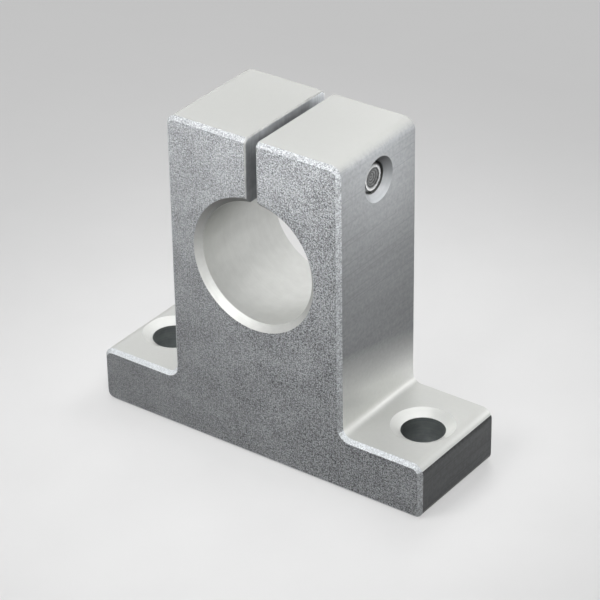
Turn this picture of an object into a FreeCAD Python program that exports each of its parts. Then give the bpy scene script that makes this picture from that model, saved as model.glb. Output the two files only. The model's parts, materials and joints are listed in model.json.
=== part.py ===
import FreeCAD, Part
import os
import Sketcher

# Shaft support block, in millimetres. X is the width, Y the shaft axis, Z up, and the origin is the middle
# of the base. The block is a T-shaped extrusion, bored for the shaft and sawn open at the top, and its
# clamp screw crosses the saw cut from the left (-X) ear, which holds the head, to the tapped right ear.

SIZES = {
    # Extruded profile
    "foot_width": 48.0,
    "foot_thickness": 7.5,
    "upright_width": 25.0,
    "block_height": 43.5,
    "block_length": 16.0,
    "outer_corner": 1.4,
    "lower_corner": 1.2,
    "inner_corner": 1.3,
    "edge_break": 0.5,
    # Shaft bore and saw cut
    "shaft_height": 27.0,
    "shaft_bore": 16.0,
    "bore_bevel": 0.8,
    "slot_width": 1.5,
    "slot_break": 0.15,
    # Mounting holes in the feet, countersunk with a drill point
    "mount_spacing": 38.0,
    "mount_bore": 5.5,
    "mount_mouth": 8.0,
    "mount_angle": 118.0,
    # Stepped hole for the clamp screw, its axis a drop below the top
    "clamp_drop": 4.7,
    "seat_bore": 7.5,
    "seat_depth": 4.2,
    "ear_clearance": 0.25,
    "thread_clearance": 0.05,
    "tapped_mouth": 5.7,
    # Clamp screw, a socket head cap screw
    "screw_diameter": 4.0,
    "screw_length": 20.0,
    "head_diameter": 7.0,
    "head_height": 4.0,
    "head_bevel": 0.4,
    "end_bevel": 0.4,
    "end_dish": 2.5,
    "dish_depth": 0.35,
    "hex_width": 3.0,
    "hex_depth": 2.0,
    "hex_bevel": 0.3,
    "hex_tip": 0.8,
}

# How near an edge lies to the plane or line that it is picked by, and the least volume that a cut takes away
ON_PLANE = 1e-4
LEAST_CUT = 1.0


def make_sheet(doc):
    """Spreadsheet with one named cell for each driving size."""
    sheet = doc.addObject("Spreadsheet::Sheet", "sizes")
    for row, (name, value) in enumerate(SIZES.items(), start=1):
        sheet.set(f"A{row}", name)
        sheet.set(f"B{row}", str(value))
        sheet.setAlias(f"B{row}", name)
    doc.recompute()
    return sheet


def new_sketch(body, name, role, shift_axis=None, shift=None):
    """Sketch on one of the body's own origin planes, moved along one of its axes by a sheet formula."""
    sketch = body.newObject("Sketcher::SketchObject", name)
    plane = next(item for item in body.Origin.OriginFeatures if item.Role == role)
    sketch.AttachmentSupport = [(plane, "")]
    sketch.MapMode = "FlatFace"
    if shift is not None:
        sketch.setExpression(f".AttachmentOffset.Base.{shift_axis}", shift)
    return sketch


def draw_outline(sketch, corners):
    """Closed chain of straight lines through the corners, joined end to end."""
    points = [FreeCAD.Vector(x, y, 0) for x, y in corners]
    count = len(points)
    for i in range(count):
        sketch.addGeometry(Part.LineSegment(points[i], points[(i + 1) % count]))
    for i in range(count):
        sketch.addConstraint(Sketcher.Constraint("Coincident", i, 2, (i + 1) % count, 1))


def hold(sketch, kind, *lines):
    """The same constraint, such as Vertical, on each of the named lines."""
    for line in lines:
        sketch.addConstraint(Sketcher.Constraint(kind, line))


def dimension(sketch, name, kind, where, value, formula):
    """Named dimension that follows the sheet."""
    index = sketch.addConstraint(Sketcher.Constraint(kind, *where, value))
    sketch.renameConstraint(index, name)
    sketch.setExpression(f"Constraints.{name}", formula)


def edges_of(feature, wanted):
    """Names of the feature's edges that the test accepts."""
    return [f"Edge{i}" for i, edge in enumerate(feature.Shape.Edges, start=1) if wanted(edge)]


def at(x, z):
    """Test for an edge that runs along Y at the given x, either side, and z."""
    def wanted(edge):
        points = [vertex.Point for vertex in edge.Vertexes] + [edge.CenterOfMass]
        return all(abs(abs(point.x) - x) < ON_PLANE and abs(point.z - z) < ON_PLANE for point in points)
    return wanted


def on_ends(y):
    """Test for an edge that lies in the front or back face, at the given y."""
    def wanted(edge):
        points = [vertex.Point for vertex in edge.Vertexes] + [edge.CenterOfMass]
        return all(abs(abs(point.y) - y) < ON_PLANE for point in points)
    return wanted


def on_sides(x, above):
    """Test for an edge in one of the two upright planes at the given x, either side, and above a level."""
    def wanted(edge):
        points = [vertex.Point for vertex in edge.Vertexes] + [edge.CenterOfMass]
        return edge.CenterOfMass.z > above and all(abs(abs(point.x) - x) < ON_PLANE for point in points)
    return wanted


def dress(doc, body, kind, name, names, size_property, formula):
    """Fillet or chamfer on the body's tip, over the named edges."""
    base = body.Tip
    feature = body.newObject(kind, name)
    feature.Base = (base, names)
    feature.setExpression(size_property, formula)
    doc.recompute()
    return feature


def add_profile(doc, body, cell):
    """T-shaped extrusion with rounded corners and broken ends."""
    sketch = new_sketch(body, "profile", "XZ_Plane")
    foot = cell.foot_width / 2
    side = cell.upright_width / 2
    step = cell.foot_thickness
    top = cell.block_height
    draw_outline(sketch, [
        (-foot, 0), (foot, 0), (foot, step), (side, step),
        (side, top), (-side, top), (-side, step), (-foot, step),
    ])
    hold(sketch, "Vertical", 1, 3, 5, 7)
    hold(sketch, "Horizontal", 2, 6)
    sketch.addConstraint(Sketcher.Constraint("PointOnObject", 0, 1, -1))
    sketch.addConstraint(Sketcher.Constraint("Symmetric", 0, 1, 0, 2, -2))
    sketch.addConstraint(Sketcher.Constraint("Symmetric", 4, 1, 4, 2, -2))
    sketch.addConstraint(Sketcher.Constraint("Equal", 1, 7))
    dimension(sketch, "foot_width", "DistanceX", (0, 1, 0, 2), cell.foot_width, "sizes.foot_width")
    dimension(sketch, "foot_thickness", "DistanceY", (1, 1, 1, 2), step, "sizes.foot_thickness")
    dimension(sketch, "upright_width", "DistanceX", (4, 2, 4, 1), cell.upright_width, "sizes.upright_width")
    dimension(sketch, "block_height", "DistanceY", (-1, 1, 4, 1), top, "sizes.block_height")

    pad = body.newObject("PartDesign::Pad", "extrusion")
    pad.Profile = sketch
    pad.SideType = "Symmetric"
    pad.setExpression("Length", "sizes.block_length")
    doc.recompute()

    top_and_foot = edges_of(pad, at(side, top)) + edges_of(pad, at(foot, step))
    outer = dress(doc, body, "PartDesign::Fillet", "outer_corners", top_and_foot,
                  "Radius", "sizes.outer_corner")
    lower = dress(doc, body, "PartDesign::Fillet", "lower_corners", edges_of(outer, at(foot, 0)),
                  "Radius", "sizes.lower_corner")
    inner = dress(doc, body, "PartDesign::Fillet", "inner_corners", edges_of(lower, at(side, step)),
                  "Radius", "sizes.inner_corner")

    rims = edges_of(inner, on_ends(cell.block_length / 2))
    dress(doc, body, "PartDesign::Chamfer", "broken_ends", rims, "Size", "sizes.edge_break")


def cut_bore(doc, body, cell):
    """Shaft bore from front to back, bevelled at both mouths."""
    sketch = new_sketch(body, "bore_circle", "XZ_Plane")
    radius = cell.shaft_bore / 2
    sketch.addGeometry(Part.Circle(FreeCAD.Vector(0, cell.shaft_height, 0), FreeCAD.Vector(0, 0, 1), radius))
    sketch.addConstraint(Sketcher.Constraint("PointOnObject", 0, 3, -2))
    dimension(sketch, "shaft_height", "DistanceY", (-1, 1, 0, 3), cell.shaft_height, "sizes.shaft_height")
    dimension(sketch, "shaft_bore", "Diameter", (0,), cell.shaft_bore, "sizes.shaft_bore")

    bore = body.newObject("PartDesign::Pocket", "shaft_bore")
    bore.Profile = sketch
    bore.Type = "ThroughAll"
    bore.SideType = "Symmetric"
    doc.recompute()

    mouths = edges_of(bore, lambda edge: isinstance(edge.Curve, Part.Circle)
                      and abs(edge.Curve.Radius - radius) < ON_PLANE)
    dress(doc, body, "PartDesign::Chamfer", "bore_mouths", mouths, "Size", "sizes.bore_bevel")


def cut_slot(doc, body, cell):
    """Saw cut from the bore up through the top, deburred outside, which lets the ears close on the shaft."""
    sketch = new_sketch(body, "slot_outline", "XZ_Plane")
    side = cell.slot_width / 2
    low = cell.shaft_height
    top = cell.block_height
    draw_outline(sketch, [(-side, low), (side, low), (side, top), (-side, top)])
    hold(sketch, "Vertical", 1, 3)
    sketch.addConstraint(Sketcher.Constraint("Symmetric", 0, 1, 0, 2, -2))
    hold(sketch, "Horizontal", 2)
    dimension(sketch, "slot_width", "DistanceX", (0, 1, 0, 2), cell.slot_width, "sizes.slot_width")
    dimension(sketch, "slot_foot", "DistanceY", (-1, 1, 0, 1), low, "sizes.shaft_height")
    dimension(sketch, "slot_top", "DistanceY", (-1, 1, 2, 1), top, "sizes.block_height")

    slot = body.newObject("PartDesign::Pocket", "clamp_slot")
    slot.Profile = sketch
    slot.Type = "ThroughAll"
    slot.SideType = "Symmetric"
    doc.recompute()
    bevel_top = cell.shaft_height + cell.shaft_bore / 2 + cell.bore_bevel
    rims = edges_of(slot, on_sides(side, above=bevel_top))
    dress(doc, body, "PartDesign::Chamfer", "slot_rims", rims, "Size", "sizes.slot_break")


def cut_mounting_holes(doc, body, cell):
    """One through hole in each foot, countersunk from above."""
    sketch = new_sketch(body, "mount_centres", "XY_Plane", "z", "sizes.foot_thickness")
    reach = cell.mount_spacing / 2
    for x in (-reach, reach):
        centre = FreeCAD.Vector(x, 0, 0)
        sketch.addGeometry(Part.Circle(centre, FreeCAD.Vector(0, 0, 1), cell.mount_bore / 2))
    sketch.addConstraint(Sketcher.Constraint("Symmetric", 0, 3, 1, 3, -1, 1))
    sketch.addConstraint(Sketcher.Constraint("PointOnObject", 0, 3, -1))
    sketch.addConstraint(Sketcher.Constraint("Equal", 0, 1))
    dimension(sketch, "mount_spacing", "DistanceX", (0, 3, 1, 3), cell.mount_spacing, "sizes.mount_spacing")
    dimension(sketch, "mount_bore", "Diameter", (0,), cell.mount_bore, "sizes.mount_bore")

    holes = body.newObject("PartDesign::Hole", "mounting_holes")
    holes.Profile = sketch
    doc.recompute()
    holes.DepthType = "ThroughAll"
    holes.Threaded = False
    holes.HoleCutType = "Countersink"
    holes.HoleCutCustomValues = True
    holes.setExpression("Diameter", "sizes.mount_bore")
    holes.setExpression("HoleCutDiameter", "sizes.mount_mouth")
    holes.setExpression("HoleCutCountersinkAngle", "sizes.mount_angle")
    doc.recompute()


def cut_clamp_hole(doc, body, cell):
    """Turned profile about the screw's axis: head seat, clearance through the left ear, tapped right ear."""
    axis = "sizes.block_height - sizes.clamp_drop"
    sketch = new_sketch(body, "clamp_hole_profile", "XZ_Plane", "y", axis)
    face = cell.upright_width / 2
    seat = -face + cell.seat_depth
    loose = cell.screw_diameter / 2 + cell.ear_clearance
    tapped = cell.screw_diameter / 2 + cell.thread_clearance
    mouth = cell.tapped_mouth / 2
    draw_outline(sketch, [
        (-face, 0), (-face, cell.seat_bore / 2), (seat, cell.seat_bore / 2), (seat, loose), (0, loose),
        (0, tapped), (face - mouth + tapped, tapped), (face, mouth), (face, 0),
    ])
    hold(sketch, "Vertical", 0, 2, 4, 7)
    hold(sketch, "Horizontal", 1, 3, 5)
    sketch.addConstraint(Sketcher.Constraint("PointOnObject", 0, 1, -1))
    sketch.addConstraint(Sketcher.Constraint("Symmetric", 8, 1, 8, 2, -1, 1))
    sketch.addConstraint(Sketcher.Constraint("PointOnObject", 4, 1, -2))
    dimension(sketch, "ear_faces", "DistanceX", (8, 2, 8, 1), cell.upright_width, "sizes.upright_width")
    dimension(sketch, "seat_radius", "DistanceY", (0, 1, 0, 2), cell.seat_bore / 2, "sizes.seat_bore / 2")
    dimension(sketch, "seat_depth", "DistanceX", (1, 1, 1, 2), cell.seat_depth, "sizes.seat_depth")
    dimension(sketch, "loose_radius", "DistanceY", (-1, 1, 4, 1), loose,
              "sizes.screw_diameter / 2 + sizes.ear_clearance")
    dimension(sketch, "tapped_radius", "DistanceY", (-1, 1, 4, 2), tapped,
              "sizes.screw_diameter / 2 + sizes.thread_clearance")
    dimension(sketch, "mouth_radius", "DistanceY", (7, 2, 7, 1), mouth, "sizes.tapped_mouth / 2")
    dimension(sketch, "mouth_depth", "DistanceX", (6, 1, 6, 2), mouth - tapped,
              "(sizes.tapped_mouth - sizes.screw_diameter) / 2 - sizes.thread_clearance")

    turn(doc, body, "PartDesign::Groove", "clamp_hole", sketch)


def turn(doc, body, kind, name, sketch):
    """Full turn of a sketch about its own level axis, added or cut away."""
    feature = body.newObject(kind, name)
    feature.Profile = sketch
    feature.ReferenceAxis = (sketch, ["H_Axis"])
    feature.Angle = 360.0
    doc.recompute()
    return feature


def make_support_block(doc, cell):
    """Aluminium block, one piece."""
    body = doc.addObject("PartDesign::Body", "support_block")
    body.Label = "support_block"
    add_profile(doc, body, cell)
    steps = [body.Shape.Volume]
    for cut in (cut_bore, cut_slot, cut_mounting_holes, cut_clamp_hole):
        cut(doc, body, cell)
        steps.append(body.Shape.Volume)
    for before, after in zip(steps, steps[1:]):
        if after > before - LEAST_CUT:
            raise RuntimeError("a cut in the support block removed nothing")
    return body


def make_clamp_screw(doc, cell):
    """Steel cap screw. Its own origin is the middle of the head's seat, with the shank along +X."""
    body = doc.addObject("PartDesign::Body", "clamp_screw")
    body.Label = "clamp_screw"
    head = cell.head_diameter / 2
    shank = cell.screw_diameter / 2
    back = -cell.head_height
    tip = cell.screw_length

    blank = new_sketch(body, "screw_profile", "XZ_Plane")
    draw_outline(blank, [
        (back, 0), (back, head - cell.head_bevel), (back + cell.head_bevel, head), (0, head), (0, shank),
        (tip - cell.end_bevel, shank), (tip, shank - cell.end_bevel), (tip, cell.end_dish / 2),
        (tip - cell.dish_depth, 0),
    ])
    hold(blank, "Vertical", 0, 3, 6)
    hold(blank, "Horizontal", 2, 4)
    blank.addConstraint(Sketcher.Constraint("PointOnObject", 0, 1, -1))
    blank.addConstraint(Sketcher.Constraint("PointOnObject", 8, 1, -1))
    blank.addConstraint(Sketcher.Constraint("PointOnObject", 3, 1, -2))
    dimension(blank, "head_height", "DistanceX", (0, 1, -1, 1), cell.head_height, "sizes.head_height")
    dimension(blank, "head_radius", "DistanceY", (-1, 1, 3, 1), head, "sizes.head_diameter / 2")
    dimension(blank, "head_bevel_along", "DistanceX", (1, 1, 1, 2), cell.head_bevel, "sizes.head_bevel")
    dimension(blank, "head_bevel_across", "DistanceY", (1, 1, 1, 2), cell.head_bevel, "sizes.head_bevel")
    dimension(blank, "shank_radius", "DistanceY", (-1, 1, 3, 2), shank, "sizes.screw_diameter / 2")
    dimension(blank, "screw_length", "DistanceX", (-1, 1, 6, 1), tip, "sizes.screw_length")
    dimension(blank, "end_bevel_along", "DistanceX", (5, 1, 5, 2), cell.end_bevel, "sizes.end_bevel")
    dimension(blank, "end_bevel_across", "DistanceY", (5, 2, 5, 1), cell.end_bevel, "sizes.end_bevel")
    dimension(blank, "dish_radius", "DistanceY", (-1, 1, 6, 2), cell.end_dish / 2, "sizes.end_dish / 2")
    dimension(blank, "dish_depth", "DistanceX", (8, 1, 6, 2), cell.dish_depth, "sizes.dish_depth")
    turn(doc, body, "PartDesign::Revolution", "screw_blank", blank)
    blank_volume = body.Shape.Volume

    add_socket(doc, body, cell)
    if body.Shape.Volume > blank_volume - LEAST_CUT:
        raise RuntimeError("the socket removed nothing from the clamp screw")

    body.setExpression(".Placement.Base.x", "-sizes.upright_width / 2 + sizes.seat_depth")
    body.setExpression(".Placement.Base.z", "sizes.block_height - sizes.clamp_drop")
    doc.recompute()
    return body


def add_socket(doc, body, cell):
    """Drilled start of the key socket, with a bevelled mouth and a pointed floor, and then its six flats."""
    back = -cell.head_height
    flat = cell.hex_width / 2
    floor = back + cell.hex_depth
    mouth = flat + cell.hex_bevel
    drill = new_sketch(body, "socket_drill_profile", "XZ_Plane")
    draw_outline(drill, [
        (back, 0), (back, mouth), (back + cell.hex_bevel, flat), (floor, flat), (floor + cell.hex_tip, 0),
    ])
    hold(drill, "Vertical", 0)
    hold(drill, "Horizontal", 2)
    drill.addConstraint(Sketcher.Constraint("PointOnObject", 0, 1, -1))
    drill.addConstraint(Sketcher.Constraint("PointOnObject", 4, 1, -1))
    dimension(drill, "head_height", "DistanceX", (0, 1, -1, 1), cell.head_height, "sizes.head_height")
    dimension(drill, "mouth_radius", "DistanceY", (0, 1, 0, 2), mouth,
              "sizes.hex_width / 2 + sizes.hex_bevel")
    dimension(drill, "flat_radius", "DistanceY", (-1, 1, 2, 2), flat, "sizes.hex_width / 2")
    dimension(drill, "mouth_bevel", "DistanceX", (1, 1, 1, 2), cell.hex_bevel, "sizes.hex_bevel")
    dimension(drill, "socket_depth", "DistanceX", (0, 1, 2, 2), cell.hex_depth, "sizes.hex_depth")
    dimension(drill, "point_depth", "DistanceX", (3, 1, 3, 2), cell.hex_tip, "sizes.hex_tip")
    turn(doc, body, "PartDesign::Groove", "socket_drill", drill)

    flats = new_sketch(body, "socket_flats", "YZ_Plane", "z", "-sizes.head_height")
    reach = cell.hex_width / 3 ** 0.5
    ring = Part.Circle(FreeCAD.Vector(0, 0, 0), FreeCAD.Vector(0, 0, 1), reach)
    corner = FreeCAD.Vector(reach, 0, 0)
    turns = [FreeCAD.Rotation(FreeCAD.Vector(0, 0, 1), 60 * i).multVec(corner) for i in range(6)]
    draw_outline(flats, [(point.x, point.y) for point in turns])
    guide = flats.addGeometry(ring, True)
    flats.addConstraint(Sketcher.Constraint("Coincident", guide, 3, -1, 1))
    for i in range(6):
        flats.addConstraint(Sketcher.Constraint("PointOnObject", i, 1, guide))
    for i in range(1, 6):
        flats.addConstraint(Sketcher.Constraint("Equal", 0, i))
    flats.addConstraint(Sketcher.Constraint("PointOnObject", 0, 1, -1))
    dimension(flats, "corner_radius", "Radius", (guide,), reach, "sizes.hex_width / sqrt(3)")

    socket = body.newObject("PartDesign::Pocket", "key_socket")
    socket.Profile = flats
    socket.Reversed = True
    socket.setExpression("Length", "sizes.hex_depth")
    doc.recompute()


def check_document(doc, bodies):
    """Stop before anything is written if an object failed or a piece isn't one sound solid."""
    for item in doc.Objects:
        if "Invalid" in item.State or "Error" in item.State:
            raise RuntimeError(f"{item.Name} failed: {item.State}")
    for body in bodies:
        shape = body.Shape
        if shape.isNull() or not shape.isValid() or len(shape.Solids) != 1:
            raise RuntimeError(f"{body.Label} isn't one sound solid")


def main():
    doc = FreeCAD.newDocument("shaft_support")
    cell = make_sheet(doc)
    bodies = [make_support_block(doc, cell), make_clamp_screw(doc, cell)]
    check_document(doc, bodies)
    os.makedirs("parts", exist_ok=True)
    for body in bodies:
        body.Shape.exportStep(f"parts/{body.Label}.step")
        print(body.Label, round(body.Shape.Volume, 2), "mm3", body.Shape.BoundBox)


main()
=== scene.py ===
"""Looks of a shaft support block: an aluminium T with a slotted bore for the shaft,
and the socket head screw that closes the bore. Lengths whose names end in _MM or _mm
are millimetres, and those that end in _M or _m are metres."""

import json
import math

import bpy
from mathutils import Matrix, Vector

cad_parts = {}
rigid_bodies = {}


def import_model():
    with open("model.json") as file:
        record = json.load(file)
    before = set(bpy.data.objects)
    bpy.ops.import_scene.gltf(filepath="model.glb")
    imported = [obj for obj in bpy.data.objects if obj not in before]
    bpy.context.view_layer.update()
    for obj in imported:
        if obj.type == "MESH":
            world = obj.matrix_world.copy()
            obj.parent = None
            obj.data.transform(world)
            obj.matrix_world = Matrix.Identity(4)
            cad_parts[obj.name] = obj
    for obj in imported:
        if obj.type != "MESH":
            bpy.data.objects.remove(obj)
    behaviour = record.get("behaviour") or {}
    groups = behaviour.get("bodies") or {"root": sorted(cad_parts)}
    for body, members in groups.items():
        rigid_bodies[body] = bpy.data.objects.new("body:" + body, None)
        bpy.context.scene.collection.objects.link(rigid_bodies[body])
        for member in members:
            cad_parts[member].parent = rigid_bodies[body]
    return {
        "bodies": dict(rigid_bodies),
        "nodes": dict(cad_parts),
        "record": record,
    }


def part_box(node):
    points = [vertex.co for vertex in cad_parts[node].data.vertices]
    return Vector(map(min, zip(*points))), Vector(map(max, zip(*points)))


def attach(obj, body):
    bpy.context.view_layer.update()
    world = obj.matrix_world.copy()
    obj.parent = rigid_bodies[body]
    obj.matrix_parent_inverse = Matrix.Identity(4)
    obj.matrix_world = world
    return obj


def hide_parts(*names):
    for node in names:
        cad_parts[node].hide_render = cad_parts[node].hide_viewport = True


MM = 0.001
BLOCK_NODE = "support_block"
SCREW_NODE = "clamp_screw"
SCREW_PIECE = "clamp_screw_m4"

# What the surfaces of the block are found by.
BORE_BEVEL_MM = 0.8
SLOT_HALF_WIDTH_MM = 0.75
SLOT_RIM_MM = 0.2
FOOT_HOLE_REACH_MM = 4.05
SCREW_HOLE_REACH_MM = 3.8
UPRIGHT_HALF_WIDTH_MM = 12.5
EDGE_BREAK_MM = 0.5
FIND_MARGIN_MM = 0.05

# Parts of a face's normal along an axis, from 0 to 1, that tell the faces apart.
EDGE_FROM = 0.2
BEVEL_FROM = 0.3
BEVEL_TO = 0.95
FLAT_FROM = 0.9

# Heights between which the feet's more metallic finish, their painted light and the painted
# reflection of the foot on the walls fade out of the skin above them.
# The slant is how much higher the painted reflection reaches for each step of 1 towards the front.
FOOT_FADES_FROM_MM = 8.5
FOOT_METAL_TO_MM = 14.0
PAINTED_FOOT_LIGHT_TO_MM = 15.0
PAINTED_REFLECTION_FADES_FROM_MM = 11.2
PAINTED_REFLECTION_TO_MM = 17.0
PAINTED_REFLECTION_SLANT = 0.22

# The screw, a right-hand M4 with a socket head.
THREAD_PITCH_MM = 0.7
THREAD_RADIUS_MM = 2.0
THREAD_DEPTH_MM = 0.43
THREAD_START_MM = 0.9
THREAD_CREST = 0.16
THREAD_ROOT = 0.74
NECK_DEPTH_SHARE = 0.35
NECK_FILLET_MM = 0.25
NECK_STEPS = 4
HEAD_RADIUS_MM = 3.5
HEAD_HEIGHT_MM = 4.0
HEAD_BEVEL_MM = 0.4
HEAD_BEVEL_CROWN = 0.3
SEAT_BREAK_MM = 0.1
KNURL_RIDGES = 36
KNURL_DEPTH_MM = 0.16
KNURL_MARGIN_MM = 0.55
KNURL_RUN_OUT_MM = 0.15
KNURL_STEEPNESS = 1.5
SOCKET_WIDTH_MM = 3.0
SOCKET_DEPTH_MM = 2.0
SOCKET_BEVEL_MM = 0.3
SOCKET_BEVEL_ENDS = 0.9
SOCKET_BEVEL_TURNS = 0.55
SOCKET_CORNER_SHARE = 0.97
SOCKET_MOUTH_MM = 0.12
SOCKET_TIP_MM = 0.8
SOCKET_REACH_MM = 1.8
END_BEVEL_MM = 0.4
END_ROUNDING_MM = 0.03
DISH_RADIUS_MM = 1.25
DISH_DEPTH_MM = 0.35
DISH_LIP_MM = 0.08
DISH_STEPS = ((0.55, 0.72), (0.9, 0.4))
SCREW_COLUMNS = 144
ROWS_A_PITCH = 12
SHARP_FROM_DEGREES = 38

# The camera, as the photograph was taken. Its azimuth, elevation and roll are in degrees.
CAMERA_AZIMUTH = 36.29
CAMERA_ELEVATION = 30.48
CAMERA_ROLL = -0.88
CAMERA_DISTANCE_MM = 330.0
CAMERA_TARGET_MM = (0.65, 0.41, 18.51)
CAMERA_FOCAL_PX = 2718.0
CAMERA_NEAREST_M = 0.01
PICTURE_PX = 600.0
SENSOR_MM = 36.0

# The surroundings. Their levels go from 0 for black to 1 for white.
FLOOR_HALF_M = 3.0
FLOOR_MOTTLE_MM = 12.0
FLOOR_PAINT = (0.25, 0.265)
FLOOR_SHOWN = 0.48
AMBIENT = 0.085
BACKGROUND = 0.76

# Tints, as the shares of red, green and blue.
WHITE = (1.0, 1.0, 1.0)
COOL = (0.965, 1.0, 1.03)
NEUTRAL = (0.99, 1.0, 0.97)
GREENISH = (0.93, 1.0, 1.0)
STEEL = (0.985, 1.0, 1.0)

# Most of a noise's values lie between these.
NOISE_LOW = 0.3
NOISE_HIGH = 0.7


def clear_strays(kept):
    """Removes what the start file holds, such as its cube, lamp and camera."""
    for thing in list(bpy.data.objects):
        if thing not in kept:
            bpy.data.objects.remove(thing)


def shade(level, tint=WHITE):
    """An opaque colour of that level, with each channel scaled by the tint."""
    return (*[level * t for t in tint], 1.0)


class Surface:
    """A node material in the making. Most methods add a node and return its output.

    A value that the whole surface shares is given by its socket's name, with _ for a space."""

    def __init__(self, name, **shared):
        self.material = bpy.data.materials.new(name)
        self.material.use_nodes = True
        self.tree = self.material.node_tree
        self.shader = self.tree.nodes["Principled BSDF"]
        for socket, value in shared.items():
            self.shader.inputs[socket.replace("_", " ")].default_value = value
        coordinates = self.tree.nodes.new("ShaderNodeTexCoord")
        self.place = coordinates.outputs["Object"]
        self.facing = coordinates.outputs["Normal"]

    def join(self, source, target):
        """Links an output to a socket, or sets the socket to a plain value."""
        if isinstance(source, bpy.types.NodeSocket):
            self.tree.links.new(source, target)
        else:
            target.default_value = source

    def stretched(self, x=1.0, y=1.0, z=1.0):
        """The place with its axes scaled. A pattern runs along the axes that are scaled down."""
        node = self.tree.nodes.new("ShaderNodeVectorMath")
        node.operation = "MULTIPLY"
        self.join(self.place, node.inputs[0])
        node.inputs[1].default_value = (x, y, z)
        return node.outputs[0]

    def axis(self, vector, letter):
        """One part of a place or direction."""
        node = self.tree.nodes.new("ShaderNodeSeparateXYZ")
        self.join(vector, node.inputs[0])
        return node.outputs[letter]

    def noise(self, size_mm, detail=2.0, roughness=0.5, place=None):
        """Noise from 0 to 1 whose features are about size_mm across."""
        node = self.tree.nodes.new("ShaderNodeTexNoise")
        self.join(place or self.place, node.inputs["Vector"])
        node.inputs["Scale"].default_value = 1.0 / (size_mm * MM)
        node.inputs["Detail"].default_value = detail
        node.inputs["Roughness"].default_value = roughness
        return node.outputs["Fac"]

    def cells(self, size_mm):
        """The distance to the nearest of scattered points, size_mm apart, from 0 to about 1."""
        node = self.tree.nodes.new("ShaderNodeTexVoronoi")
        self.join(self.place, node.inputs["Vector"])
        node.inputs["Scale"].default_value = 1.0 / (size_mm * MM)
        return node.outputs["Distance"]

    def spread(self, value, low, high, to_low=0.0, to_high=1.0):
        """Maps low..high to to_low..to_high, and no further."""
        node = self.tree.nodes.new("ShaderNodeMapRange")
        node.clamp = True
        self.join(value, node.inputs["Value"])
        node.inputs["From Min"].default_value = low
        node.inputs["From Max"].default_value = high
        node.inputs["To Min"].default_value = to_low
        node.inputs["To Max"].default_value = to_high
        return node.outputs["Result"]

    def swing(self, noise, to_low=0.0, to_high=1.0):
        """Maps the usual range of a noise to to_low..to_high."""
        return self.spread(noise, NOISE_LOW, NOISE_HIGH, to_low, to_high)

    def maths(self, operation, first, second=None):
        """The result of one of the Math node's operations."""
        node = self.tree.nodes.new("ShaderNodeMath")
        node.operation = operation
        self.join(first, node.inputs[0])
        if second is not None:
            self.join(second, node.inputs[1])
        return node.outputs[0]

    def plus(self, value, other, weight=1.0):
        """The value plus the other one times its weight."""
        if weight != 1.0:
            other = self.maths("MULTIPLY", other, weight)
        return self.maths("ADD", value, other)

    def mixed(self, first, second, share):
        """The share of the first value plus the rest of the second."""
        return self.plus(self.maths("MULTIPLY", first, share), second, 1.0 - share)

    def blend(self, share, first, second):
        """A colour from first to second, as share goes from 0 to 1."""
        node = self.tree.nodes.new("ShaderNodeMix")
        node.data_type = "RGBA"
        self.join(share, node.inputs["Factor"])
        colours = [s for s in node.inputs if s.type == "RGBA"]
        for socket, colour in zip(colours, (first, second)):
            self.join(colour, socket)
        return next(s for s in node.outputs if s.type == "RGBA")

    def grey(self, share, dark, light, tint=WHITE):
        """A tinted grey from the dark level to the light one, as share goes from 0 to 1."""
        return self.blend(share, shade(dark, tint), shade(light, tint))

    def scaled(self, colour, share):
        """The colour made lighter or darker, by a plain share or one that an output gives."""
        node = self.tree.nodes.new("ShaderNodeVectorMath")
        node.operation = "SCALE"
        self.join(colour, node.inputs[0])
        self.join(share, node.inputs["Scale"])
        return node.outputs[0]

    def relief(self, height, depth_mm):
        """Raises the look of the surface by depth_mm where height is 1."""
        node = self.tree.nodes.new("ShaderNodeBump")
        node.inputs["Strength"].default_value = 1.0
        node.inputs["Distance"].default_value = depth_mm * MM
        self.join(height, node.inputs["Height"])
        self.tree.links.new(node.outputs["Normal"], self.shader.inputs["Normal"])

    def colour(self, source):
        self.join(source, self.shader.inputs["Base Color"])

    def roughness(self, source):
        self.join(source, self.shader.inputs["Roughness"])

    def metallic(self, source):
        self.join(source, self.shader.inputs["Metallic"])


def blasted_aluminium(name, metallic, dark, light, relief_mm):
    """The sawn ends after grit blasting: short dark worms of grain in a slightly blue grey.
    Painted light makes worms and speckle stand out more towards the block's right, and faint clouds
    lie over them."""
    worm_mm, grain_mm, pit_mm, cloud_mm = 0.32, 0.19, 0.22, 3.5
    worm_half_width, speckle_range, worm_share = 0.12, (0.36, 0.64), 0.55
    middle_tone, cloud_depth = 0.6, 0.08
    faint_at_mm, strong_at_mm, faint, strong = -20.0, 12.0, 0.5, 1.2
    s = Surface(name, Metallic=metallic)
    field = s.noise(worm_mm, detail=1.0, roughness=0.6)
    from_worm = s.maths("ABSOLUTE", s.maths("SUBTRACT", field, 0.5))
    worms = s.spread(from_worm, 0.0, worm_half_width)
    grain = s.noise(grain_mm, detail=1.0)
    speckle = s.spread(grain, *speckle_range)
    clouds = s.swing(s.noise(cloud_mm), -cloud_depth, cloud_depth)
    # Painted light: the grain's contrast rises from the block's left to its right.
    painted_light_contrast = s.spread(s.axis(s.place, "X"), faint_at_mm * MM, strong_at_mm * MM, faint, strong)
    from_middle = s.maths("SUBTRACT", s.mixed(worms, speckle, worm_share), middle_tone)
    tone = s.plus(s.plus(s.maths("MULTIPLY", from_middle, painted_light_contrast), middle_tone), clouds)
    s.colour(s.grey(tone, dark, light, COOL))
    s.roughness(s.swing(grain, to_low=0.68, to_high=0.46))
    s.relief(s.plus(s.plus(grain, s.cells(pit_mm), weight=0.5), worms, weight=0.5), relief_mm)
    return s.material


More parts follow.
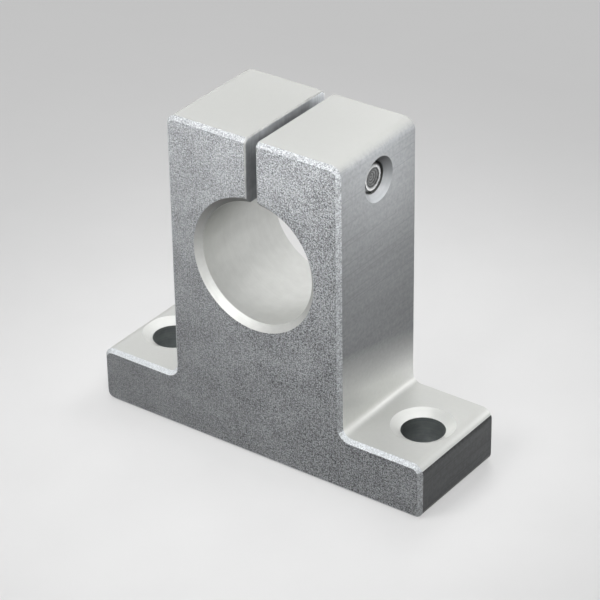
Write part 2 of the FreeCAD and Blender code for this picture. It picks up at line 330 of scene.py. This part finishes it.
def extruded_aluminium(name, wall, top, painted_reflection):
    """The extrusion's own skin. Its walls are satin, with faint lines and a few scores along the
    extrusion, and it turns evener where it faces up, where painted light makes it brighter than
    the walls. Low down the walls carry a painted reflection of the foot, a bit higher at the front
    than at the rear, and the feet's tops are painted lighter still. Wall and top give the darkest
    and the lightest level of each, and the last argument says how much of the painted reflection
    there is, from 0 to 1."""
    line_mm, broad_line_mm, score_mm, haze_mm = 0.3, 1.6, 0.22, 0.45
    score_from, score_full, score_depth = 0.69, 0.74, 0.7
    up_range, wall_range, haze_share = (0.36, 0.9), (0.38, 0.62), 0.6
    wall_metal, top_metal, foot_metal = 0.15, 0.6, 0.7
    painted_reflection_levels, painted_foot_light, top_matt = (0.89, 0.94), 1.29, 0.14
    s = Surface(name, Specular_IOR_Level=0.35)
    up = s.spread(s.axis(s.facing, "Z"), *up_range)
    height = s.axis(s.place, "Z")
    fine = s.noise(line_mm, detail=3.0, place=s.stretched(y=0.04))
    broad = s.noise(broad_line_mm, place=s.stretched(y=0.06))
    lines = s.mixed(fine, broad, share=0.5)
    haze = s.noise(haze_mm, detail=3.0, roughness=0.65)
    scratches = s.noise(score_mm, detail=0.0, place=s.stretched(y=0.008))
    scores = s.spread(scratches, score_from, score_full, 0.0, score_depth)
    tone = s.maths("SUBTRACT", s.spread(s.mixed(haze, lines, haze_share), *wall_range), scores)
    # Painted shade on the walls and painted light on the tops: one skin is coloured darker where it
    # faces sideways than where it faces up.
    walls = s.grey(tone, *wall, COOL)
    # Painted reflection of the foot on the walls low down, a bit higher at the front than at the
    # rear.
    painted_reflection_colour = s.grey(s.swing(haze), *painted_reflection_levels, NEUTRAL)
    reach = s.plus(height, s.axis(s.place, "Y"), PAINTED_REFLECTION_SLANT)
    near = s.spread(reach, PAINTED_REFLECTION_FADES_FROM_MM * MM, PAINTED_REFLECTION_TO_MM * MM, painted_reflection, 0.0)
    tops = s.grey(s.swing(haze), *top, NEUTRAL)
    # Painted light: the tops are coloured lighter low down, on the feet.
    lighter = s.spread(height, FOOT_FADES_FROM_MM * MM, PAINTED_FOOT_LIGHT_TO_MM * MM, painted_foot_light, 1.0)
    s.colour(s.blend(up, s.blend(near, walls, painted_reflection_colour), s.scaled(tops, lighter)))
    near_metal = s.spread(
        height, FOOT_FADES_FROM_MM * MM, FOOT_METAL_TO_MM * MM, foot_metal, wall_metal)
    s.metallic(s.maths("MAXIMUM", s.spread(up, 0.0, 1.0, wall_metal, top_metal), near_metal))
    matt = s.spread(up, low=0.5, high=1.0, to_high=top_matt)
    s.roughness(s.plus(s.swing(haze, to_low=0.34, to_high=0.44), matt))
    s.relief(s.plus(lines, haze, weight=0.5), depth_mm=0.01)
    return s.material


def painted_light_by_facing(letter, low, high, at_low, at_high):
    """Returns a function that paints light and shade by the way a face points: it gives a
    surface's places a share, which goes from at_low to at_high as the normal's part along one
    axis goes from low to high."""
    return lambda s: s.spread(s.axis(s.facing, letter), low, high, at_low, at_high)


def bevel_painted_light(s):
    """The bore's bevel has a painted highlight where it faces up and to the right, and painted shade
    where it faces down.
    """
    upward = s.axis(s.facing, "Z")
    diagonal = s.plus(s.axis(s.facing, "X"), upward)
    gleam = s.spread(diagonal, low=0.4, high=1.0, to_low=0.88, to_high=1.34)
    return s.maths("MULTIPLY", s.spread(upward, low=-0.6, high=0.5, to_low=0.35), gleam)


def slot_painted_light(s):
    """Painted light and shade on the slot's wall: lighter near the top and towards its open ends, and
    darker inside.
    """
    front_mm, middle_mm, rear_from_mm, rear_mm = -8.0, 0.0, 4.0, 8.0
    top_from_mm, top_mm = 40.5, 43.3
    inside, at_front, at_rear, below, at_top = 0.68, 1.0, 1.9, 0.98, 1.85
    y = s.axis(s.place, "Y")
    painted_top_light = s.spread(s.axis(s.place, "Z"), top_from_mm * MM, top_mm * MM, below, at_top)
    front = s.spread(y, front_mm * MM, middle_mm * MM, at_front, inside)
    rear = s.spread(y, rear_from_mm * MM, rear_mm * MM, inside, at_rear)
    return s.maths("MULTIPLY", painted_top_light, s.maths("MAXIMUM", front, rear))


def machined_aluminium(name, axis, dark, light, roughness=0.4, metallic=0.85, tint=NEUTRAL,
                       share=None):
    """A turned or bored wall: smooth bright metal with very fine rings square to its axis,
    which is 0, 1 or 2. Given the surface, share says how much of its colour each place has;
    it carries painted light and shade."""
    ring_mm, haze_mm, ring_stretch = 0.2, 1.2, 0.02
    s = Surface(name, Metallic=metallic)
    along = [1.0 if i == axis else ring_stretch for i in range(3)]
    rings = s.noise(ring_mm, place=s.stretched(*along))
    haze = s.noise(haze_mm, detail=3.0)
    streaks = s.swing(s.mixed(rings, haze, share=0.4))
    tone = s.grey(streaks, dark, light, tint)
    # Painted light and shade, where a share is given.
    s.colour(s.scaled(tone, share(s)) if share else tone)
    s.roughness(s.swing(rings, to_low=roughness - 0.03, to_high=roughness + 0.04))
    s.relief(rings, depth_mm=0.0008)
    return s.material


def turned_steel(name, dark, light, roughness, axis_height_m, ring_depth_mm=0.0):
    """Steel with turning rings round the screw's axis on its flat faces."""
    turning_mm, haze_mm = 0.3, 0.35
    s = Surface(name, Metallic=1.0)
    height = s.maths("SUBTRACT", s.axis(s.place, "Z"), axis_height_m)
    squares = [s.maths("POWER", part, 2.0) for part in (s.axis(s.place, "Y"), height)]
    radius = s.maths("SQRT", s.plus(*squares))
    turns = s.maths("SINE", s.maths("MULTIPLY", radius, 2 * math.pi / (turning_mm * MM)))
    haze = s.noise(haze_mm, detail=3.0, roughness=0.6)
    tone = s.spread(s.plus(haze, turns, weight=0.2), low=0.25, high=0.75)
    s.colour(s.grey(tone, dark, light, STEEL))
    s.roughness(s.swing(haze, to_low=roughness - 0.06, to_high=roughness + 0.1))
    s.relief(turns, ring_depth_mm)
    return s.material


def block_materials():
    """A material for each zone of the block."""
    return {
        "end_face": blasted_aluminium(
            "blasted_ends", metallic=0.2, dark=0.07, light=0.5, relief_mm=0.12),
        "edge_break": blasted_aluminium(
            "blasted_edges", metallic=0.4, dark=0.29, light=0.68, relief_mm=0.11),
        # Painted shade and light: the same blasted edge breaks are coloured darker on the upright's
        # top edges and much lighter on the feet's edges.
        "top_edge": blasted_aluminium(
            "blasted_top_edges_painted_shade", metallic=0.25, dark=0.19, light=0.54, relief_mm=0.11),
        "foot_edge": blasted_aluminium(
            "blasted_foot_edges_painted_light", metallic=0.5, dark=0.66, light=0.97, relief_mm=0.1),
        # The skin, with painted light on its tops, painted shade on its walls and a painted
        # reflection of the foot low down.
        "skin": extruded_aluminium(
            "drawn_skin_painted_light", wall=(0.25, 0.33), top=(0.43, 0.455), painted_reflection=1.0),
        # Painted shade: the feet's end walls are the skin coloured far darker.
        "foot_end": extruded_aluminium(
            "drawn_foot_ends_painted_shade", wall=(0.06, 0.105), top=(0.435, 0.46), painted_reflection=0.0),
        # Painted shade: the bore's wall is coloured darker where it faces down.
        "bore": machined_aluminium(
            "bored_wall_painted_shade", axis=1, dark=0.6, light=0.665, metallic=0.8,
            share=painted_light_by_facing("Z", low=-0.6, high=0.0, at_low=0.55, at_high=1.0)),
        # Painted highlight and shade on the bore's bevel.
        "bore_mouth": machined_aluminium(
            "bored_mouth_painted_light", axis=1, dark=0.47, light=0.57, metallic=0.45, share=bevel_painted_light),
        # Painted light and shade on the slot's wall.
        "slot": machined_aluminium(
            "sawn_slot_painted_light", axis=1, dark=0.2, light=0.34, roughness=0.5, metallic=0.4, tint=COOL,
            share=slot_painted_light),
        "slot_rim": machined_aluminium(
            "sawn_rims", axis=1, dark=0.25, light=0.4, roughness=0.5, metallic=0.3),
        # Painted shade: the cross hole's wall is coloured much darker than the bore's.
        "screw_hole": machined_aluminium(
            "drilled_across_painted_shade", axis=0, dark=0.12, light=0.2, metallic=0.4),
        # Painted shade: the screw hole's countersink is coloured far darker where it faces down.
        "screw_mouth": machined_aluminium(
            "drilled_mouth_painted_shade", axis=0, dark=0.46, light=0.55, metallic=0.25, tint=COOL,
            share=painted_light_by_facing("Z", low=-0.6, high=0.8, at_low=0.1, at_high=1.0)),
        # Painted shade: the foot holes' walls are coloured darker than the other machined faces.
        "foot_hole": machined_aluminium(
            "drilled_down_painted_shade", axis=2, dark=0.22, light=0.36, metallic=0.7, tint=GREENISH),
        # Painted highlight: the countersinks are coloured lightest on their rear side, which faces
        # the front, and dimmer at the front.
        "foot_mouth": machined_aluminium(
            "foot_countersinks_painted_highlight", axis=2, dark=0.82, light=0.88, metallic=0.7,
            share=painted_light_by_facing("Y", low=-0.35, high=0.4, at_low=1.0, at_high=0.68)),
    }


def on_bevel(part):
    """Whether a face is a bevel, going by its normal's part along the axis of the bevel."""
    return BEVEL_FROM < abs(part) < BEVEL_TO


def block_zones(end_mm, shaft_mm, bore_radius_mm, mount_x_mm, screw_axis_mm):
    """Returns a function that names the zone of a face from its middle, in mm, and its normal."""

    def zone(middle, normal):
        x, y, z = middle
        from_shaft = math.hypot(x, z - shaft_mm)
        at_screw = math.hypot(y, z - screw_axis_mm) < SCREW_HOLE_REACH_MM
        at_mount = math.hypot(abs(x) - mount_x_mm, y) < FOOT_HOLE_REACH_MM
        across = abs(normal.y)
        above_shaft = z > shaft_mm
        if from_shaft < bore_radius_mm + FIND_MARGIN_MM:
            if abs(x) > SLOT_HALF_WIDTH_MM or not above_shaft:
                return "bore"
        if from_shaft < bore_radius_mm + BORE_BEVEL_MM and on_bevel(across):
            return "bore_mouth"
        if above_shaft and abs(x) < SLOT_HALF_WIDTH_MM + FIND_MARGIN_MM:
            if abs(normal.z) < FLAT_FROM:
                return "slot"
        if above_shaft and abs(x) < SLOT_HALF_WIDTH_MM + SLOT_RIM_MM and abs(normal.x) > BEVEL_FROM:
            return "slot_rim"
        if at_screw and on_bevel(normal.x):
            return "screw_mouth"
        if at_screw and abs(x) < UPRIGHT_HALF_WIDTH_MM - FIND_MARGIN_MM:
            return "screw_hole"
        if at_mount and on_bevel(normal.z):
            return "foot_mouth"
        if at_mount and abs(normal.z) < BEVEL_FROM:
            return "foot_hole"
        if across > FLAT_FROM and abs(y) > end_mm - FIND_MARGIN_MM:
            return "end_face"
        if across > EDGE_FROM and abs(y) > end_mm - EDGE_BREAK_MM:
            if normal.z < BEVEL_FROM:
                return "edge_break"
            # Edges above the shaft get the copy with painted shade, those of the feet the copy with
            # painted light.
            return "top_edge" if above_shaft else "foot_edge"
        # The feet's end walls take the skin with painted shade.
        if abs(normal.x) > FLAT_FROM and abs(x) > mount_x_mm:
            return "foot_end"
        return "skin"

    return zone


def dress_block(block, materials, zone):
    """Gives each face of the block the material of its zone. The shape stays as it is."""
    mesh = block.data
    mesh.materials.clear()
    order = list(materials)
    for name in order:
        mesh.materials.append(materials[name])
    for face in mesh.polygons:
        face.material_index = order.index(zone(face.center / MM, face.normal))


def thread_radius(x_mm, angle):
    """The thread's radius at a place along the screw. Crest and root are flat, and the flank
    lies between the shares THREAD_CREST and THREAD_ROOT of the way from one to the other."""
    phase = (x_mm / THREAD_PITCH_MM - angle / (2 * math.pi)) % 1.0
    rise = abs(phase - 0.5) * 2.0
    share = min(1.0, max(0.0, (rise - THREAD_CREST) / (THREAD_ROOT - THREAD_CREST)))
    return THREAD_RADIUS_MM - THREAD_DEPTH_MM * share


def hexagon_radius(angle, width_mm):
    """The distance from the middle to the side of a hexagon, at an angle."""
    third = math.pi / 3
    return width_mm / 2 / math.cos((angle + third / 2) % third - third / 2)


def knurl_radius(angle, share):
    """The head's radius, with grooves between ridges that run along it."""
    ridge = abs(((angle * KNURL_RIDGES / (2 * math.pi)) % 1.0) - 0.5) * 2.0
    groove = 1.0 - min(1.0, ridge * KNURL_STEEPNESS)
    return HEAD_RADIUS_MM - KNURL_DEPTH_MM * share * groove


def plain(radius):
    """A round ring."""
    return lambda x, angle: radius


def hexagon(width, least=0.0):
    """A ring like a hexagon, with its sides no nearer to the middle than least."""
    return lambda x, angle: max(hexagon_radius(angle, width), least)


def knurl(share):
    """A ring of the knurl, with its grooves as deep as share says."""
    return lambda x, angle: knurl_radius(angle, share)


def head_rings(head_top, seat):
    """The screw's rings from the bottom of its socket over the head to the seat."""
    socket_rim = SOCKET_WIDTH_MM / 2 / math.cos(math.pi / 6)
    floor = head_top + SOCKET_DEPTH_MM
    knurl_start = head_top + KNURL_MARGIN_MM
    knurl_end = seat - KNURL_MARGIN_MM
    return [
        (floor + SOCKET_TIP_MM / 2, hexagon(SOCKET_WIDTH_MM / 2)),
        (floor, hexagon(SOCKET_WIDTH_MM)),
        (head_top + SOCKET_BEVEL_MM * SOCKET_BEVEL_ENDS, hexagon(SOCKET_WIDTH_MM)),
        (head_top + SOCKET_BEVEL_MM * SOCKET_BEVEL_TURNS,
         hexagon(SOCKET_WIDTH_MM, socket_rim * SOCKET_CORNER_SHARE)),
        (head_top, plain(socket_rim + SOCKET_MOUTH_MM)),
        (head_top, plain((socket_rim + HEAD_RADIUS_MM) / 2)),
        (head_top, plain(HEAD_RADIUS_MM - HEAD_BEVEL_MM)),
        (head_top + HEAD_BEVEL_MM * HEAD_BEVEL_CROWN,
         plain(HEAD_RADIUS_MM - HEAD_BEVEL_MM * HEAD_BEVEL_CROWN)),
        (head_top + HEAD_BEVEL_MM, plain(HEAD_RADIUS_MM)),
        (knurl_start, knurl(0.0)),
        (knurl_start + KNURL_RUN_OUT_MM, knurl(1.0)),
        (knurl_end, knurl(1.0)),
        (knurl_end + KNURL_RUN_OUT_MM, knurl(0.0)),
        (seat - SEAT_BREAK_MM, plain(HEAD_RADIUS_MM)),
        (seat, plain(HEAD_RADIUS_MM - SEAT_BREAK_MM)),
        (seat, plain(THREAD_RADIUS_MM + NECK_FILLET_MM)),
    ]


def neck_rings(seat, neck):
    """The round fillet between the head and the neck."""
    across = THREAD_RADIUS_MM + NECK_FILLET_MM - neck
    rings = []
    for step in range(1, NECK_STEPS + 1):
        turn = math.pi / 2 * step / NECK_STEPS
        x = seat + NECK_FILLET_MM * (1.0 - math.cos(turn))
        rings.append((x, plain(neck + across * (1.0 - math.sin(turn)))))
    return rings


def thread_rings(start, end, neck):
    """The thread, which rises out of the neck over its first pitch."""
    def threaded(run_in):
        return lambda x, angle: neck + (thread_radius(x, angle) - neck) * run_in

    rows = round((end - start) / THREAD_PITCH_MM * ROWS_A_PITCH)
    rings = []
    for row in range(rows + 1):
        x = start + (end - start) * row / rows
        rings.append((x, threaded(min(1.0, (x - start) / THREAD_PITCH_MM))))
    return rings


def end_rings(thread_end, end):
    """The bevel at the screw's end, which cuts the thread off, and the dish inside it."""
    def bevelled(limit):
        return lambda x, angle: min(limit, thread_radius(x, angle))

    rings = []
    for share in (0.25, 0.5, 0.75):
        cut = END_BEVEL_MM * share
        rings.append((thread_end + cut, bevelled(THREAD_RADIUS_MM - cut)))
    rings += [
        (end, plain(THREAD_RADIUS_MM - END_BEVEL_MM - END_ROUNDING_MM)),
        (end, plain(DISH_RADIUS_MM + DISH_LIP_MM)),
        (end - END_ROUNDING_MM, plain(DISH_RADIUS_MM)),
    ]
    for depth_share, radius_share in DISH_STEPS:
        rings.append((end - DISH_DEPTH_MM * depth_share, plain(DISH_RADIUS_MM * radius_share)))
    return rings


def screw_rings(head_top, end):
    """The screw as rings from the bottom of its socket, over the head and along the thread,
    to its end. Each ring is a place along the axis and a function that gives its radius there
    at an angle, all in mm."""
    seat = head_top + HEAD_HEIGHT_MM
    neck = THREAD_RADIUS_MM - THREAD_DEPTH_MM * NECK_DEPTH_SHARE
    thread_end = end - END_BEVEL_MM
    return [
        *head_rings(head_top, seat),
        *neck_rings(seat, neck),
        *thread_rings(seat + THREAD_START_MM, thread_end, neck),
        *end_rings(thread_end, end),
    ]


def screw_mesh(name, head_top, end, axis_height_mm):
    """The whole screw as one closed mesh, lying along X at its place in the block."""
    rings = screw_rings(head_top, end)
    socket_tip = head_top + SOCKET_DEPTH_MM + SOCKET_TIP_MM
    points = [Vector((socket_tip, 0.0, axis_height_mm)) * MM]
    for x, radius_at in rings:
        for column in range(SCREW_COLUMNS):
            angle = 2 * math.pi * column / SCREW_COLUMNS
            radius = radius_at(x, angle)
            place = (x, radius * math.cos(angle), axis_height_mm + radius * math.sin(angle))
            points.append(Vector(place) * MM)
    points.append(Vector((end - DISH_DEPTH_MM, 0.0, axis_height_mm)) * MM)
    last = len(points) - 1
    faces = []
    for column in range(SCREW_COLUMNS):
        after = (column + 1) % SCREW_COLUMNS
        faces.append((0, 1 + after, 1 + column))
        for row in range(len(rings) - 1):
            here = 1 + row * SCREW_COLUMNS
            there = here + SCREW_COLUMNS
            faces.append((here + column, here + after, there + after, there + column))
        ring = 1 + (len(rings) - 1) * SCREW_COLUMNS
        faces.append((last, ring + column, ring + after))
    mesh = bpy.data.meshes.new(name)
    mesh.from_pydata(points, [], faces)
    mesh.validate()
    mesh.update()
    for face in mesh.polygons:
        face.use_smooth = True
    mesh.set_sharp_from_angle(angle=math.radians(SHARP_FROM_DEGREES))
    return mesh


def make_screw(axis_height_mm):
    """Puts the clamp screw in place of its plain solid, with thread, knurl and socket."""
    low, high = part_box(SCREW_NODE)
    head_top, end = low.x / MM, high.x / MM
    screw = bpy.data.objects.new(
        SCREW_PIECE, screw_mesh(SCREW_PIECE, head_top, end, axis_height_mm))
    bpy.context.scene.collection.objects.link(screw)
    height_m = axis_height_mm * MM
    for material in (
        turned_steel(
            "screw_body", dark=0.3, light=0.45, roughness=0.34, axis_height_m=height_m),
        turned_steel(
            "screw_faces", dark=0.5, light=0.7, roughness=0.28, axis_height_m=height_m),
        # Painted shade: the socket and the dish at the end are coloured darker than the rest of the
        # screw.
        turned_steel(
            "screw_recesses_painted_shade", dark=0.1, light=0.32, roughness=0.36, axis_height_m=height_m,
            ring_depth_mm=0.01),
    ):
        screw.data.materials.append(material)
    faces_slot, recess_slot = 1, 2
    socket_tip = head_top + SOCKET_DEPTH_MM + SOCKET_TIP_MM
    for face in screw.data.polygons:
        middle = face.center / MM
        radius = math.hypot(middle.y, middle.z - axis_height_mm)
        in_socket = middle.x < socket_tip and radius < SOCKET_REACH_MM
        in_dish = middle.x > end - END_BEVEL_MM and radius < DISH_RADIUS_MM
        if in_socket or in_dish:
            face.material_index = recess_slot
        elif abs(face.normal.x) > FLAT_FROM:
            face.material_index = faces_slot
    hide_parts(SCREW_NODE)
    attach(screw, "screw")


def seen_share(tree):
    """Adds nodes whose output is 1 where a surface is seen, mirrored or seen through glass,
    and 0 where it only lights something."""
    path = tree.nodes.new("ShaderNodeLightPath")
    share = path.outputs["Is Camera Ray"]
    for kind in ("Is Glossy Ray", "Is Transmission Ray"):
        node = tree.nodes.new("ShaderNodeMath")
        node.operation = "MAXIMUM"
        tree.links.new(share, node.inputs[0])
        tree.links.new(path.outputs[kind], node.inputs[1])
        share = node.outputs[0]
    return share


def make_floor():
    """A wide pale floor. What is seen or mirrored is paler than what lights the block."""
    half = FLOOR_HALF_M
    corners = [(-half, -half, 0), (half, -half, 0), (half, half, 0), (-half, half, 0)]
    mesh = bpy.data.meshes.new("floor")
    mesh.from_pydata(corners, [], [(0, 1, 2, 3)])
    floor = bpy.data.objects.new("floor", mesh)
    bpy.context.scene.collection.objects.link(floor)
    s = Surface("floor_paint", Metallic=0.0, Roughness=0.8, Specular_IOR_Level=0.1,
                Emission_Color=shade(1.0))
    mottle = s.swing(s.noise(FLOOR_MOTTLE_MM, detail=3.0))
    s.colour(s.grey(mottle, *FLOOR_PAINT))
    shown = s.maths("MULTIPLY", seen_share(s.tree), FLOOR_SHOWN)
    s.join(shown, s.shader.inputs["Emission Strength"])
    mesh.materials.append(s.material)


def make_world():
    """An even pale surround: BACKGROUND where it is seen or mirrored, AMBIENT as light."""
    world = bpy.data.worlds.new("surround")
    world.use_nodes = True
    tree = world.node_tree
    shown = tree.nodes["Background"]
    level = tree.nodes.new("ShaderNodeMapRange")
    tree.links.new(seen_share(tree), level.inputs["Value"])
    level.inputs["To Min"].default_value = AMBIENT
    level.inputs["To Max"].default_value = BACKGROUND
    tree.links.new(level.outputs["Result"], shown.inputs["Strength"])
    shown.inputs["Color"].default_value = shade(1.0)
    bpy.context.scene.world = world


def lamp(name, place_mm, aim_mm, size_mm, watts, mirrored=True, lights=True):
    """A soft lamp that points at a place and isn't itself in the picture. It shows in glossy
    reflections only if it is mirrored, and brightens a matt surface only if it lights."""
    data = bpy.data.lights.new(name, "AREA")
    data.shape = "RECTANGLE"
    data.size = size_mm[0] * MM
    data.size_y = size_mm[1] * MM
    data.energy = watts
    made = bpy.data.objects.new(name, data)
    bpy.context.scene.collection.objects.link(made)
    made.location = Vector(place_mm) * MM
    made.rotation_mode = "QUATERNION"
    made.rotation_quaternion = (Vector(aim_mm) * MM - made.location).to_track_quat("-Z", "Y")
    made.visible_camera = False
    made.visible_glossy = mirrored
    made.visible_diffuse = lights


def make_lights():
    """Two large soft lamps above and behind, one near lamp for each of four sides, and a gleam.

    The near lamps aren't mirrored, so that the tops and the bore stay short of white. The gleam
    lights nothing: it is there to be mirrored in the fillet above the right foot."""
    block_middle = (0, 0, 30)
    lamp("overhead", (70, 150, 420), block_middle, size_mm=(420, 420), watts=0.112)
    lamp("behind", (-260, 350, 200), block_middle, size_mm=(400, 300), watts=0.091)
    lamp("front_near", (3, -41, 64), (2, -8, 30), size_mm=(36, 36), watts=0.0505, mirrored=False)
    lamp("side_near", (30, 1, 51), (12, 0, 36), size_mm=(20, 20), watts=0.0084, mirrored=False)
    lamp("rear_near", (-2, 42, 62), (-2, 8, 30), size_mm=(36, 36), watts=0.04, mirrored=False)
    lamp("left_near", (-34, 3, 51), (-12, 0, 34), size_mm=(26, 26), watts=0.0095, mirrored=False)
    lamp("rear_gleam", (33, 26, 21), (14, 0, 9), size_mm=(14, 12), watts=0.0008, lights=False)


def make_camera():
    """The camera at the photograph's viewing angle."""
    azimuth = math.radians(CAMERA_AZIMUTH)
    elevation = math.radians(CAMERA_ELEVATION)
    roll = math.radians(CAMERA_ROLL)
    back = Vector((
        math.sin(azimuth) * math.cos(elevation),
        -math.cos(azimuth) * math.cos(elevation),
        math.sin(elevation),
    ))
    level_right = (-back).cross(Vector((0, 0, 1))).normalized()
    level_up = back.cross(level_right)
    right = math.cos(roll) * level_right + math.sin(roll) * level_up
    up = back.cross(right)
    data = bpy.data.cameras.new("camera")
    data.sensor_width = SENSOR_MM
    data.lens = SENSOR_MM * CAMERA_FOCAL_PX / PICTURE_PX
    data.clip_start = CAMERA_NEAREST_M
    camera = bpy.data.objects.new("camera", data)
    bpy.context.scene.collection.objects.link(camera)
    turn = Matrix((right, up, back)).transposed().to_4x4()
    place = (Vector(CAMERA_TARGET_MM) + back * CAMERA_DISTANCE_MM) * MM
    camera.matrix_world = Matrix.Translation(place) @ turn
    bpy.context.scene.camera = camera


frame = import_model()
clear_strays([*frame["nodes"].values(), *frame["bodies"].values()])
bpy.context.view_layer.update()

mounts = {mount["name"]: mount for mount in frame["record"]["mounts"]}
screw_low, screw_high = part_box(SCREW_NODE)
screw_height = (screw_low.z + screw_high.z) / 2 / MM
zones = block_zones(
    end_mm=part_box(BLOCK_NODE)[1].y / MM,
    shaft_mm=mounts["shaft_clamp"]["pos_m"][2] / MM,
    bore_radius_mm=mounts["shaft_clamp"]["dims"]["r_mm"],
    mount_x_mm=mounts["foot_holes"]["dims"]["spacing_x_mm"] / 2,
    screw_axis_mm=screw_height,
)
dress_block(frame["nodes"][BLOCK_NODE], block_materials(), zones)
make_screw(screw_height)

make_floor()
make_world()
make_lights()
make_camera()
bpy.context.scene.view_settings.view_transform = "Standard"
